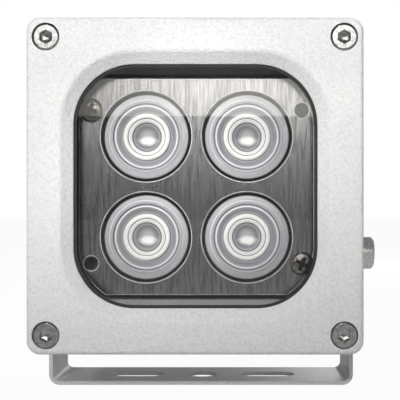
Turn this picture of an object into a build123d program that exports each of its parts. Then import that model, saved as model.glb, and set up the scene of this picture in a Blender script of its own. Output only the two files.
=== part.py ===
from build123d import *
import os

# Four-lamp white light illuminator on a tilting U bracket.
# The origin is the centre of the bracket base's underside, +Z is up and the lamp faces -Y.

# Head outline
head_width = 110.0
head_corner = 4.5
head_edge = 1.5
pivot_to_front = 62.5
pivot_height = 48.0
pivot_to_bottom = 30.5

# Front bezel and its window
bezel_depth = 18.0
bezel_border = 14.85
window_corner = 20.0
cove_width = 3.85
cove_depth = 3.2
lip_depth = 4.0
bezel_wall = 4.5
pocket_floor_depth = 10.0

# Front glass and its rubber channel
glass_thickness = 3.0
glass_overlap = 4.35
rubber_flap = 0.5
rubber_wall = 1.2
rubber_show = 1.0
rubber_slack = 0.1

# Frame behind the glass
frame_wall = 4.0
frame_gap = 0.3
frame_flange = 1.5
frame_inset = 1.5
tray_step = 4.1

# Lens plate
plate_depth = 10.5
plate_thickness = 1.5
plate_gap = 0.5
plate_trim = 6.5
plate_corner = 20.0
plate_hole_side = 4.15
plate_hole_end = 10.6
plate_hole = 4.9

# Lamps
lamp_border = 2.4
lamp_spacing = 2.0
lamp_gap = 0.3
holder_wall = 0.75
holder_proud = 0.5
lens_set_back = 0.2
lens_sink = 0.7
lens_flange = 1.6
lens_brim = 2.15
lens_rim = 1.3
lens_step = 2.9
bowl_depth = 1.1
bowl_slope = 1.7
well_depth = 5.2
well_ledge = 1.5
eye_depth = 3.0
lens_foot = 5.0
lens_slack = 0.1
lens_clearance = 0.3
emitter_size = 5.0
emitter_base = 0.9
emitter_dome = 2.1

# Lamp board and the plate that spreads its heat
board_depth = 25.5
board_thickness = 1.6
board_trim_x = 0.3
board_trim_z = 2.8
board_corner = 6.0
board_screw_inset = 4.0
spreader_thickness = 3.0
spreader_side_gap = 10.0
spreader_end_gap = 8.0
spreader_corner = 20.0
spreader_screw_side = 21.0
spreader_screw_end = 5.5

# Housing gasket
gasket_thickness = 1.0
gasket_inset = 1.0
gasket_width = 5.5

# Rear housing
housing_wall = 4.0
housing_cavity_depth = 45.5
housing_floor = 8.0
cavity_corner = 23.5
fin_count = 13
fin_depth = 29.5
fin_root = 4.2
fin_tip = 3.0
fin_flare = 1.0
fin_end = 12.0
post_radius = 4.2
post_hole_depth = 14.0
pivot_boss_radius = 9.0
pivot_boss_length = 10.0

# Driver board
driver_width = 60.0
driver_height = 44.0
driver_thickness = 1.6
driver_lift = 6.0
driver_boss_radius = 3.2
driver_screw_inset = 4.0
driver_screw_reserve = 1.0
driver_corner = 2.0
inductor_x = 12.0
inductor_z = 6.0
inductor_radius = 8.0
inductor_hole = 3.5
inductor_height = 9.0
capacitor_x = 12.0
capacitor_z = 8.0
capacitor_pitch = 12.0
capacitor_radius = 5.0
capacitor_height = 16.0
terminal_z = 12.0
terminal_width = 20.0
terminal_length = 9.0
terminal_height = 10.0
terminal_edge = 1.5
terminal_pitch = 5.0
terminal_mouth = 3.4
terminal_mouth_depth = 4.0

# Cable gland
gland_to_top = 31.0
gland_pad_radius = 13.0
gland_pad_height = 4.0
gland_pocket_height = 34.0
gland_pocket_corner = 5.0
gland_thread = 16.0
gland_flats = 19.0
gland_hex = 5.0
gland_neck = 6.0
gland_cap_flats = 7.7
gland_cap_round = 6.3
gland_cap_gap = 0.5
gland_thread_length = 10.0
gland_wall = 1.0
seal_wall = 2.0
seal_proud = 2.0
cable_hole = 7.0

# Screws: nominal thread, head width, head height, key width
bezel_screw_size = 5.0
bezel_screw_head = 8.5
bezel_screw_head_height = 5.0
bezel_screw_key = 4.0
bezel_screw_length = 28.0
bezel_screw_inset = 6.4
bezel_screw_sink = 0.2
thread_reserve = 2.0
pan_screw_size = 4.0
pan_screw_head = 8.0
pan_screw_head_height = 2.4
pan_screw_length = 8.0
small_screw_size = 3.0
small_screw_head = 5.6
small_screw_head_height = 2.0
small_screw_length = 6.0
cross_length = 0.55
cross_width = 0.13
cross_depth = 0.6
thread_slack = 0.05
hole_slack = 0.25
standoff_flats = 6.0
socket_fillet = 0.4

# Side bolts and their washers
bolt_size = 8.0
bolt_head = 13.0
bolt_head_height = 8.0
bolt_key = 6.0
bolt_length = 16.0
bolt_swing_slack = 0.1
washer_radius = 8.0
washer_thickness = 1.6
spacer_radius = 9.0
spacer_thickness = 0.95
swing_gap = 0.05

# Bracket of bent sheet
sheet = 1.5
strip_width = 30.0
bend_radius = 2.5
slot_place = 25.6
slot_length = 21.2
slot_width = 9.0
base_hole = 11.0

# Places that follow from the sizes above
half_head = head_width / 2
head_rise = half_head - pivot_to_bottom
pivot_z = sheet + pivot_height
head_z = pivot_z + head_rise
front_y = -pivot_to_front
window_width = head_width - 2 * bezel_border
plate_width = window_width - 2 * plate_gap
plate_height = plate_width - plate_trim
plate_hole_x = plate_width / 2 - plate_hole_side
plate_hole_z = plate_height / 2 - plate_hole_end
lamp_pitch = plate_height / 2 - lamp_border
holder_radius = lamp_pitch / 2 - lamp_spacing
lens_radius = holder_radius - holder_wall
board_width = plate_width - board_trim_x
board_height = plate_height - board_trim_z
board_screw_z = board_height / 2 - board_screw_inset
gland_rise = half_head - gland_to_top
corners = {
    "upper_left": (-1, 1),
    "upper_right": (1, 1),
    "lower_left": (-1, -1),
    "lower_right": (1, -1),
}


# A plane parallel to the front, this far behind it, with x to the right, y up and its normal to the front.
def face(depth, x=0.0, z=0.0):
    return Plane(origin=(x, front_y + depth, head_z + z), x_dir=(1, 0, 0), z_dir=(0, -1, 0))


# A plane parallel to the sides at this x, with x to the rear and y up.
def side(x):
    return Plane(origin=(x, 0, pivot_z), x_dir=(0, 1, 0), z_dir=(1, 0, 0))


os.makedirs("parts", exist_ok=True)

# Depths behind the front face
glass_depth = lip_depth + rubber_flap
glass_back = glass_depth + glass_thickness
frame_depth = glass_back + rubber_flap
flange_back = bezel_depth + frame_flange
housing_depth = flange_back + gasket_thickness
plate_back = plate_depth + plate_thickness
holder_depth = plate_depth + holder_proud
lens_depth = holder_depth + lens_set_back
lens_length = board_depth - emitter_base - emitter_dome - lens_clearance - lens_depth
board_back = board_depth + board_thickness
spreader_back = board_back + spreader_thickness
floor_depth = housing_depth + housing_cavity_depth
floor_back = floor_depth + housing_floor
fin_back = floor_back + fin_depth

# Front bezel: a die-cast square with a rounded window, a sloped cove round it and sunk corner screws.
glass_width = window_width + 2 * glass_overlap
glass_corner = window_corner + glass_overlap
pocket_grow = glass_overlap + rubber_wall + rubber_slack
pocket_width = window_width + 2 * pocket_grow
pocket_corner = window_corner + pocket_grow
bezel_screw_place = half_head - bezel_screw_inset
screw_places = [(sx * bezel_screw_place, sz * bezel_screw_place) for sx, sz in corners.values()]

with BuildPart() as front_bezel:
    with BuildSketch(face(0)):
        RectangleRounded(head_width, head_width, head_corner)
    extrude(amount=-bezel_depth)
    fillet(front_bezel.faces().sort_by(Axis.Y)[0].edges(), radius=head_edge)
    with BuildSketch(face(0)):
        cove_outer = window_width + 2 * cove_width
        RectangleRounded(cove_outer, cove_outer, window_corner + cove_width)
    with BuildSketch(face(cove_depth)):
        RectangleRounded(window_width, window_width, window_corner)
    loft(mode=Mode.SUBTRACT)
    with BuildSketch(face(cove_depth)):
        RectangleRounded(window_width, window_width, window_corner)
    extrude(amount=-bezel_depth, mode=Mode.SUBTRACT)
    with BuildSketch(face(lip_depth)):
        RectangleRounded(pocket_width, pocket_width, pocket_corner)
    extrude(amount=lip_depth - bezel_depth, mode=Mode.SUBTRACT)
    with BuildSketch(face(pocket_floor_depth)):
        hollow_width = head_width - 2 * bezel_wall
        RectangleRounded(hollow_width, hollow_width, cavity_corner)
    extrude(amount=pocket_floor_depth - bezel_depth, mode=Mode.SUBTRACT)
    with Locations(face(0)):
        with Locations(*screw_places):
            CounterBoreHole(
                bezel_screw_size / 2 + hole_slack,
                bezel_screw_head / 2 + hole_slack,
                bezel_screw_head_height + bezel_screw_sink,
            )
front_bezel.part.label = "front_bezel"
export_step(front_bezel.part, "parts/front_bezel.step")

# Front glass: a toughened pane with ground edges.
with BuildPart() as front_glass:
    with BuildSketch(face(glass_depth)):
        RectangleRounded(glass_width, glass_width, glass_corner)
    extrude(amount=-glass_thickness)
front_glass.part.label = "front_glass"
export_step(front_glass.part, "parts/front_glass.step")

# Glass gasket: a rubber channel that wraps the pane's edge and shows as a thin line inside the window.
rubber_width = pocket_width - 2 * rubber_slack
rubber_corner = pocket_corner - rubber_slack
rubber_open = window_width - 2 * rubber_show
with BuildPart() as glass_gasket:
    with BuildSketch(face(lip_depth)):
        RectangleRounded(rubber_width, rubber_width, rubber_corner)
        RectangleRounded(rubber_open, rubber_open, window_corner - rubber_show, mode=Mode.SUBTRACT)
    extrude(amount=lip_depth - frame_depth)
    with BuildSketch(face(glass_depth)):
        RectangleRounded(glass_width, glass_width, glass_corner)
    extrude(amount=-glass_thickness, mode=Mode.SUBTRACT)
    with BuildSketch(face(glass_back)):
        rear_open = window_width + 2 * rubber_show
        RectangleRounded(rear_open, rear_open, window_corner + rubber_show)
    extrude(amount=-rubber_flap, mode=Mode.SUBTRACT)
glass_gasket.part.label = "glass_gasket"
export_step(glass_gasket.part, "parts/glass_gasket.step")

# Inner frame: it presses the gasket against the bezel and forms the dark tray round the lens plate.
tongue_width = pocket_width - 2 * frame_gap
tongue_corner = pocket_corner - frame_gap
tongue_open = tongue_width - 2 * frame_wall
flange_width = head_width - 2 * frame_inset
with BuildPart() as inner_frame:
    with BuildSketch(face(frame_depth)):
        RectangleRounded(tongue_width, tongue_width, tongue_corner)
    extrude(amount=frame_depth - flange_back)
    with BuildSketch(face(bezel_depth)):
        RectangleRounded(flange_width, flange_width, head_corner)
    extrude(amount=-frame_flange)
    with BuildSketch(face(frame_depth)):
        RectangleRounded(tongue_open, tongue_open, tongue_corner - frame_wall)
    extrude(amount=frame_depth - plate_back, mode=Mode.SUBTRACT)
    with BuildSketch(face(plate_back)):
        RectangleRounded(tongue_open, tongue_open, tongue_corner - frame_wall)
        Rectangle(tongue_open, window_width - tray_step, mode=Mode.INTERSECT)
    extrude(amount=plate_back - flange_back, mode=Mode.SUBTRACT)
    with Locations(face(bezel_depth)):
        with Locations(*screw_places):
            Hole(bezel_screw_size / 2 + hole_slack)
inner_frame.part.label = "inner_frame"
export_step(inner_frame.part, "parts/inner_frame.step")

# Housing gasket: a flat rubber ring between the frame's flange and the housing.
gasket_outer = head_width - 2 * gasket_inset
gasket_inner = gasket_outer - 2 * gasket_width
with BuildPart() as housing_gasket:
    with BuildSketch(face(flange_back)):
        RectangleRounded(gasket_outer, gasket_outer, head_corner)
        RectangleRounded(gasket_inner, gasket_inner, cavity_corner, mode=Mode.SUBTRACT)
    extrude(amount=-gasket_thickness)
    with Locations(face(flange_back)):
        with Locations(*screw_places):
            Hole(bezel_screw_size / 2 + hole_slack)
housing_gasket.part.label = "housing_gasket"
export_step(housing_gasket.part, "parts/housing_gasket.step")

# Rear housing: one casting in two nodes that meet at the cavity floor. These are its walls and pivot bosses.
fin_pitch = (head_width - fin_root - 2 * fin_flare) / (fin_count - 1)
fin_reach = front_y + fin_back
driver_depth = floor_depth - driver_lift - driver_thickness
driver_screws = [
    (sx * (driver_width / 2 - driver_screw_inset), sz * (driver_height / 2 - driver_screw_inset))
    for sx, sz in corners.values()
]
spreader_width = head_width - 2 * spreader_side_gap
spreader_height = head_width - 2 * spreader_end_gap
spreader_screw_x = spreader_width / 2 - spreader_screw_side
spreader_screw_z = spreader_height / 2 - spreader_screw_end
spreader_screws = [(sx * spreader_screw_x, sz * spreader_screw_z) for sx, sz in corners.values()]
pad_back = floor_back + gland_pad_height
bezel_screw_tip = bezel_screw_sink + bezel_screw_head_height + bezel_screw_length
bezel_thread_depth = bezel_screw_tip - housing_depth + thread_reserve
with BuildPart() as rear_housing:
    with BuildSketch(face(housing_depth)):
        RectangleRounded(head_width, head_width, head_corner)
        cavity_width = head_width - 2 * housing_wall
        RectangleRounded(cavity_width, cavity_width, cavity_corner, mode=Mode.SUBTRACT)
    extrude(amount=-housing_cavity_depth)
    with BuildSketch(side(housing_wall - half_head)):
        Circle(pivot_boss_radius)
    extrude(amount=pivot_boss_length)
    with BuildSketch(side(half_head - housing_wall)):
        Circle(pivot_boss_radius)
    extrude(amount=-pivot_boss_length)
    split(bisect_by=face(floor_depth), keep=Keep.TOP)
    with Locations(face(housing_depth)):
        with Locations(*screw_places):
            Hole(bezel_screw_size / 2, depth=bezel_thread_depth)
    with BuildSketch(side(-half_head)):
        Circle(bolt_size / 2)
    extrude(amount=bolt_length, mode=Mode.SUBTRACT)
    with BuildSketch(side(half_head)):
        Circle(bolt_size / 2)
    extrude(amount=-bolt_length, mode=Mode.SUBTRACT)
rear_housing.part.label = "rear_housing"
export_step(rear_housing.part, "parts/rear_housing.step")

# Back of the same casting: its floor with posts, driver bosses, gland pad and upright cooling fins.
with BuildPart() as housing_back:
    with BuildSketch(Plane.XY.offset(head_z - half_head)):
        for index in range(fin_count):
            fin_x = (index - (fin_count - 1) / 2) * fin_pitch
            root_y = front_y + floor_back
            with BuildLine():
                Polyline(
                    (fin_x - fin_root / 2 - fin_flare, root_y),
                    (fin_x - fin_root / 2, root_y + fin_flare),
                    (fin_x - fin_tip / 2, fin_reach),
                    (fin_x + fin_tip / 2, fin_reach),
                    (fin_x + fin_root / 2, root_y + fin_flare),
                    (fin_x + fin_root / 2 + fin_flare, root_y),
                    close=True,
                )
            make_face()
    extrude(amount=head_width)
    with BuildSketch(side(0)):
        with Locations((front_y + floor_back, head_rise)):
            fin_side = Rectangle(fin_depth, head_width, align=(Align.MIN, Align.CENTER))
        chamfer(fin_side.vertices().group_by(Axis.X)[-1], length=fin_end)
    extrude(amount=half_head, both=True, mode=Mode.INTERSECT)
    with BuildSketch(face(floor_back)):
        with Locations((0, gland_rise)):
            pocket_span = 4 * fin_pitch - fin_root - 2 * fin_flare
            RectangleRounded(pocket_span, gland_pocket_height, gland_pocket_corner)
    extrude(amount=-fin_depth, mode=Mode.SUBTRACT)
    with BuildSketch(face(floor_depth)):
        RectangleRounded(head_width, head_width, head_corner)
    extrude(amount=-housing_floor)
    with BuildSketch(face(spreader_back)):
        with Locations(*spreader_screws):
            Circle(post_radius)
    extrude(amount=spreader_back - floor_depth)
    with BuildSketch(face(driver_depth + driver_thickness)):
        with Locations(*driver_screws):
            Circle(driver_boss_radius)
    extrude(amount=-driver_lift)
    with BuildSketch(face(floor_back)):
        with Locations((0, gland_rise)):
            Circle(gland_pad_radius)
    extrude(amount=-gland_pad_height)
    with Locations(face(spreader_back)):
        with Locations(*spreader_screws):
            Hole(pan_screw_size / 2, depth=post_hole_depth)
    with Locations(face(driver_depth + driver_thickness)):
        with Locations(*driver_screws):
            Hole(small_screw_size / 2, depth=small_screw_length)
    with BuildSketch(side(-half_head)):
        Circle(bolt_size / 2)
    extrude(amount=bolt_length, mode=Mode.SUBTRACT)
    with BuildSketch(side(half_head)):
        Circle(bolt_size / 2)
    extrude(amount=-bolt_length, mode=Mode.SUBTRACT)
    with BuildSketch(face(floor_depth)):
        with Locations((0, gland_rise)):
            Circle(gland_thread / 2)
    extrude(amount=floor_depth - pad_back, mode=Mode.SUBTRACT)
housing_back.part.label = "housing_back"
export_step(housing_back.part, "parts/housing_back.step")

# Corner screws of the bezel: socket heads sunk just below the front.
bezel_screw_top = bezel_screw_sink
with BuildPart() as bezel_screw:
    with BuildSketch(face(bezel_screw_top)):
        Circle(bezel_screw_head / 2)
    extrude(amount=-bezel_screw_head_height)
    chamfer(bezel_screw.edges().sort_by(Axis.Y)[0], length=socket_fillet)
    with BuildSketch(face(bezel_screw_top + bezel_screw_head_height)):
        Circle(bezel_screw_size / 2 - thread_slack)
    extrude(amount=-bezel_screw_length)
    with BuildSketch(face(bezel_screw_top)):
        RegularPolygon(bezel_screw_key / 2, 6, major_radius=False)
    extrude(amount=-bezel_screw_head_height / 2, mode=Mode.SUBTRACT)
for corner, (sx, sz) in corners.items():
    screw = Pos(sx * bezel_screw_place, 0, sz * bezel_screw_place) * bezel_screw.part
    screw.label = f"bezel_screw_{corner}"
    export_step(screw, f"parts/{screw.label}.step")

# Lens plate: a brushed sheet with four lamp holes and four small corner holes.
lamp_hole = holder_radius + lamp_gap
lamp_places = {name: (sx * lamp_pitch / 2, sz * lamp_pitch / 2) for name, (sx, sz) in corners.items()}
with BuildPart() as lens_plate:
    with BuildSketch(face(plate_depth)):
        RectangleRounded(plate_width, plate_width, plate_corner)
        Rectangle(plate_width, plate_height, mode=Mode.INTERSECT)
        with Locations(*lamp_places.values()):
            Circle(lamp_hole, mode=Mode.SUBTRACT)
        with Locations(*[(sx * plate_hole_x, sz * plate_hole_z) for sx, sz in corners.values()]):
            Circle(plate_hole / 2, mode=Mode.SUBTRACT)
    extrude(amount=-plate_thickness)
lens_plate.part.label = "lens_plate"
export_step(lens_plate.part, "parts/lens_plate.step")

# Lenses: a stepped ring face in front and a funnel of clear plastic behind it.
rim_outer = lens_radius - lens_brim
rim_inner = rim_outer - lens_rim
bowl_radius = rim_inner - lens_step
well_radius = bowl_radius - bowl_slope
eye_radius = well_radius - well_ledge
with BuildPart() as lens:
    with BuildSketch(Plane(origin=(0, front_y + lens_depth, head_z), x_dir=(1, 0, 0), z_dir=(0, 0, 1))):
        with BuildLine():
            Polyline(
                (0, eye_depth),
                (eye_radius, eye_depth),
                (eye_radius, well_depth),
                (well_radius, well_depth),
                (bowl_radius, bowl_depth),
                (rim_inner, bowl_depth),
                (rim_inner, 0),
                (rim_outer, 0),
                (rim_outer, lens_sink),
                (lens_radius, lens_sink),
                (lens_radius, lens_sink + lens_flange),
                (rim_outer, lens_sink + lens_flange),
                (lens_foot, lens_length),
                (0, lens_length),
                close=True,
            )
        make_face()
    revolve(axis=Axis((0, 0, head_z), (0, 1, 0)))
for corner, (x, z) in lamp_places.items():
    piece = Pos(x, 0, z) * lens.part
    piece.label = f"lens_{corner}"
    export_step(piece, f"parts/{piece.label}.step")

# Lens holders: black cups that carry each lens by its flange and stand on the lamp board.
holder_length = board_depth - holder_depth
seat_depth = lens_depth + lens_sink + lens_flange - holder_depth
with BuildPart() as lens_holder:
    with BuildSketch(Plane(origin=(0, front_y + holder_depth, head_z), x_dir=(1, 0, 0), z_dir=(0, 0, 1))):
        with BuildLine():
            Polyline(
                (holder_radius, 0),
                (holder_radius, holder_length),
                (rim_outer + lens_slack, holder_length),
                (rim_outer + lens_slack, seat_depth),
                (lens_radius + lens_slack, seat_depth),
                (lens_radius + lens_slack, 0),
                close=True,
            )
        make_face()
    revolve(axis=Axis((0, 0, head_z), (0, 1, 0)))
for corner, (x, z) in lamp_places.items():
    piece = Pos(x, 0, z) * lens_holder.part
    piece.label = f"lens_holder_{corner}"
    export_step(piece, f"parts/{piece.label}.step")

# Emitters: a square base with a clear dome.
with BuildPart() as emitter:
    with BuildSketch(face(board_depth)):
        Rectangle(emitter_size, emitter_size)
    extrude(amount=emitter_base)
    with BuildSketch(face(board_depth - emitter_base)):
        Circle(emitter_dome)
    extrude(amount=emitter_dome)
for corner, (x, z) in lamp_places.items():
    piece = Pos(x, 0, z) * emitter.part
    piece.label = f"emitter_{corner}"
    export_step(piece, f"parts/{piece.label}.step")

# Lamp board: a metal-backed board that carries emitters, holders and standoffs.
plate_screws = {"upper_left": (-1, 1), "lower_right": (1, -1)}
standoff_places = [(sx * plate_hole_x, sz * plate_hole_z) for sx, sz in plate_screws.values()]
board_screws = {"top": board_screw_z, "bottom": -board_screw_z}
with BuildPart() as lamp_board:
    with BuildSketch(face(board_depth)):
        RectangleRounded(board_width, board_height, board_corner)
    extrude(amount=-board_thickness)
    with Locations(face(board_depth)):
        with Locations(*standoff_places):
            Hole(pan_screw_size / 2)
        with Locations(*[(0, z) for z in board_screws.values()]):
            Hole(small_screw_size / 2 + hole_slack)
lamp_board.part.label = "lamp_board"
export_step(lamp_board.part, "parts/lamp_board.step")

# Heat spreader: a thick plate behind the lamp board, screwed to the housing's posts.
with BuildPart() as heat_spreader:
    with BuildSketch(face(board_back)):
        RectangleRounded(spreader_width, spreader_height, spreader_corner)
    extrude(amount=-spreader_thickness)
    with Locations(face(board_back)):
        with Locations(*standoff_places):
            Hole(pan_screw_size / 2)
        with Locations(*[(0, z) for z in board_screws.values()]):
            Hole(small_screw_size / 2)
        with Locations(*spreader_screws):
            Hole(pan_screw_size / 2 + hole_slack)
heat_spreader.part.label = "heat_spreader"
export_step(heat_spreader.part, "parts/heat_spreader.step")

# Standoffs behind the two screws of the lens plate: hexagons with a stud through board and spreader.
with BuildPart() as standoff:
    with BuildSketch(face(plate_back)):
        RegularPolygon(standoff_flats / 2, 6, major_radius=False)
    extrude(amount=plate_back - board_depth)
    with BuildSketch(face(board_depth)):
        Circle(pan_screw_size / 2 - thread_slack)
    extrude(amount=board_depth - spreader_back)
    with BuildSketch(face(plate_back)):
        Circle(pan_screw_size / 2)
    extrude(amount=-pan_screw_length, mode=Mode.SUBTRACT)
for corner, (sx, sz) in plate_screws.items():
    piece = Pos(sx * plate_hole_x, 0, sz * plate_hole_z) * standoff.part
    piece.label = f"standoff_{corner}"
    export_step(piece, f"parts/{piece.label}.step")


# A pan-head screw with a cross recess, its head's underside at this depth on the head's axis.
def pan_screw(depth, size, head, head_height, length):
    with BuildPart() as pan:
        with BuildSketch(face(depth)):
            Circle(head / 2)
        extrude(amount=head_height)
        with BuildSketch(face(depth)):
            Circle(size / 2 - thread_slack)
        extrude(amount=-length)
        with BuildSketch(face(depth - head_height)):
            Rectangle(head * cross_length, head * cross_width)
            Rectangle(head * cross_width, head * cross_length)
        extrude(amount=-head_height * cross_depth, mode=Mode.SUBTRACT)
    return pan.part


# A hexagon-head screw, its head's underside at this depth on the head's axis.
def hex_screw(depth, size, flats, head_height, length):
    with BuildPart() as hexagon:
        with BuildSketch(face(depth)):
            RegularPolygon(flats / 2, 6, major_radius=False)
        extrude(amount=head_height)
        with BuildSketch(face(depth)):
            Circle(size / 2 - thread_slack)
        extrude(amount=-length)
    return hexagon.part


plate_pan = pan_screw(
    plate_depth, pan_screw_size, pan_screw_head, pan_screw_head_height, pan_screw_length
)
for corner, (sx, sz) in plate_screws.items():
    piece = Pos(sx * plate_hole_x, 0, sz * plate_hole_z) * plate_pan
    piece.label = f"plate_screw_{corner}"
    export_step(piece, f"parts/{piece.label}.step")

board_grip = board_thickness + spreader_thickness
board_pan = hex_screw(board_depth, small_screw_size, small_screw_head, small_screw_head_height, board_grip)
for name, z in board_screws.items():
    piece = Pos(0, 0, z) * board_pan
    piece.label = f"board_screw_{name}"
    export_step(piece, f"parts/{piece.label}.step")

spreader_grip = spreader_thickness + pan_screw_length
spreader_pan = hex_screw(board_back, pan_screw_size, pan_screw_head, pan_screw_head_height, spreader_grip)
for (corner, _), (x, z) in zip(corners.items(), spreader_screws):
    piece = Pos(x, 0, z) * spreader_pan
    piece.label = f"spreader_screw_{corner}"
    export_step(piece, f"parts/{piece.label}.step")

# Driver board on the housing's rear floor, with its screws and its main components.
with BuildPart() as driver_board:
    with BuildSketch(face(driver_depth)):
        RectangleRounded(driver_width, driver_height, driver_corner)
    extrude(amount=-driver_thickness)
    with Locations(face(driver_depth)):
        with Locations(*driver_screws):
            Hole(small_screw_size / 2 + hole_slack)
driver_board.part.label = "driver_board"
export_step(driver_board.part, "parts/driver_board.step")

driver_grip = driver_thickness + small_screw_length - driver_screw_reserve
driver_pan = hex_screw(driver_depth, small_screw_size, small_screw_head, small_screw_head_height, driver_grip)
for (corner, _), (x, z) in zip(corners.items(), driver_screws):
    piece = Pos(x, 0, z) * driver_pan
    piece.label = f"driver_screw_{corner}"
    export_step(piece, f"parts/{piece.label}.step")

# Toroidal inductor, lying on the driver board.
with BuildPart() as inductor:
    with BuildSketch(face(driver_depth, -inductor_x, -inductor_z)):
        Circle(inductor_radius)
        Circle(inductor_hole, mode=Mode.SUBTRACT)
    extrude(amount=inductor_height)
inductor.part.label = "inductor"
export_step(inductor.part, "parts/inductor.step")

# Two capacitors standing on the driver board.
for name, turn in {"left": -1, "right": 1}.items():
    with BuildPart() as capacitor:
        with BuildSketch(face(driver_depth, capacitor_x + turn * capacitor_pitch / 2, -capacitor_z)):
            Circle(capacitor_radius)
        extrude(amount=capacitor_height)
    capacitor.part.label = f"capacitor_{name}"
    export_step(capacitor.part, f"parts/{capacitor.part.label}.step")

# Terminal block below the cable gland.
with BuildPart() as terminal_block:
    with BuildSketch(face(driver_depth, 0, terminal_z)):
        Rectangle(terminal_width, terminal_length)
    extrude(amount=terminal_height)
    chamfer(terminal_block.faces().sort_by(Axis.Y)[0].edges().filter_by(Axis.X), length=terminal_edge)
    with BuildSketch(face(driver_depth - terminal_height, 0, terminal_z)):
        with GridLocations(terminal_pitch, terminal_pitch, 4, 1):
            Rectangle(terminal_mouth, terminal_mouth)
    extrude(amount=-terminal_mouth_depth, mode=Mode.SUBTRACT)
terminal_block.part.label = "terminal_block"
export_step(terminal_block.part, "parts/terminal_block.step")

# Cable gland: a hexagon body screwed into the pad, its cap nut and the rubber seal inside.
hex_depth = pad_back
neck_depth = hex_depth + gland_hex
cap_depth = neck_depth + gland_cap_gap
with BuildPart() as gland_body:
    with BuildSketch(face(hex_depth, 0, gland_rise)):
        RegularPolygon(gland_flats / 2, 6, major_radius=False)
    extrude(amount=-gland_hex)
    with BuildSketch(face(hex_depth - gland_thread_length, 0, gland_rise)):
        Circle(gland_thread / 2 - thread_slack)
    extrude(amount=-gland_thread_length - gland_hex - gland_neck)
    with BuildSketch(face(hex_depth - gland_thread_length, 0, gland_rise)):
        Circle(cable_hole / 2 + gland_wall)
    extrude(amount=-gland_thread_length - gland_hex, mode=Mode.SUBTRACT)
    with BuildSketch(face(neck_depth, 0, gland_rise)):
        Circle(gland_thread / 2 - seal_wall)
    extrude(amount=-gland_neck, mode=Mode.SUBTRACT)
gland_body.part.label = "gland_body"
export_step(gland_body.part, "parts/gland_body.step")

with BuildPart() as gland_seal:
    with BuildSketch(face(neck_depth, 0, gland_rise)):
        Circle(gland_thread / 2 - seal_wall)
        Circle(cable_hole / 2, mode=Mode.SUBTRACT)
    extrude(amount=-gland_neck - seal_proud)
gland_seal.part.label = "gland_seal"
export_step(gland_seal.part, "parts/gland_seal.step")

with BuildPart() as gland_cap_nut:
    with BuildSketch(face(cap_depth, 0, gland_rise)):
        RegularPolygon(gland_flats / 2, 6, major_radius=False)
    extrude(amount=-gland_cap_flats)
    with BuildSketch(face(cap_depth + gland_cap_flats, 0, gland_rise)):
        Circle(gland_flats / 2)
    extrude(amount=-gland_cap_round)
    with BuildSketch(face(cap_depth, 0, gland_rise)):
        Circle(gland_thread / 2)
    extrude(amount=-gland_neck - gland_cap_gap, mode=Mode.SUBTRACT)
    with BuildSketch(face(cap_depth, 0, gland_rise)):
        Circle(gland_thread / 2 - seal_wall)
    extrude(amount=gland_cap_gap - gland_neck - seal_proud, mode=Mode.SUBTRACT)
    with BuildSketch(face(cap_depth, 0, gland_rise)):
        Circle(cable_hole / 2 + gland_wall)
    extrude(amount=-gland_cap_flats - gland_cap_round, mode=Mode.SUBTRACT)
gland_cap_nut.part.label = "gland_cap_nut"
export_step(gland_cap_nut.part, "parts/gland_cap_nut.step")

# Side bolts with their washers outside the bracket's legs and spacers inside them.
leg_inner = half_head + spacer_thickness + swing_gap
leg_outer = leg_inner + sheet
washer_inner = leg_outer + swing_gap
head_inner = washer_inner + washer_thickness
head_outer = head_inner + bolt_head_height
for name, turn in {"right": 1, "left": -1}.items():
    with BuildPart() as side_spacer:
        with BuildSketch(side(turn * half_head)):
            Circle(spacer_radius)
            Circle(bolt_size / 2 + thread_slack, mode=Mode.SUBTRACT)
        extrude(amount=turn * spacer_thickness)
    side_spacer.part.label = f"side_spacer_{name}"
    export_step(side_spacer.part, f"parts/{side_spacer.part.label}.step")

    with BuildPart() as side_washer:
        with BuildSketch(side(turn * washer_inner)):
            Circle(washer_radius)
            Circle(bolt_size / 2 + thread_slack, mode=Mode.SUBTRACT)
        extrude(amount=turn * washer_thickness)
    side_washer.part.label = f"side_washer_{name}"
    export_step(side_washer.part, f"parts/{side_washer.part.label}.step")

    with BuildPart() as side_bolt:
        with BuildSketch(side(turn * head_inner)):
            Circle(bolt_head / 2)
        extrude(amount=turn * bolt_head_height)
        rim = side_bolt.faces().filter_by(Axis.X).sort_by(Axis.X)[-1 if turn > 0 else 0]
        chamfer(rim.edges(), length=1.0)
        with BuildSketch(side(turn * head_inner)):
            Circle(bolt_size / 2 - thread_slack)
        extrude(amount=-turn * bolt_length)
        with BuildSketch(side(turn * head_outer)):
            RegularPolygon(bolt_key / 2, 6, major_radius=False)
        extrude(amount=-turn * bolt_head_height / 2, mode=Mode.SUBTRACT)
    side_bolt.part.label = f"side_bolt_{name}"
    export_step(side_bolt.part, f"parts/{side_bolt.part.label}.step")

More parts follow.
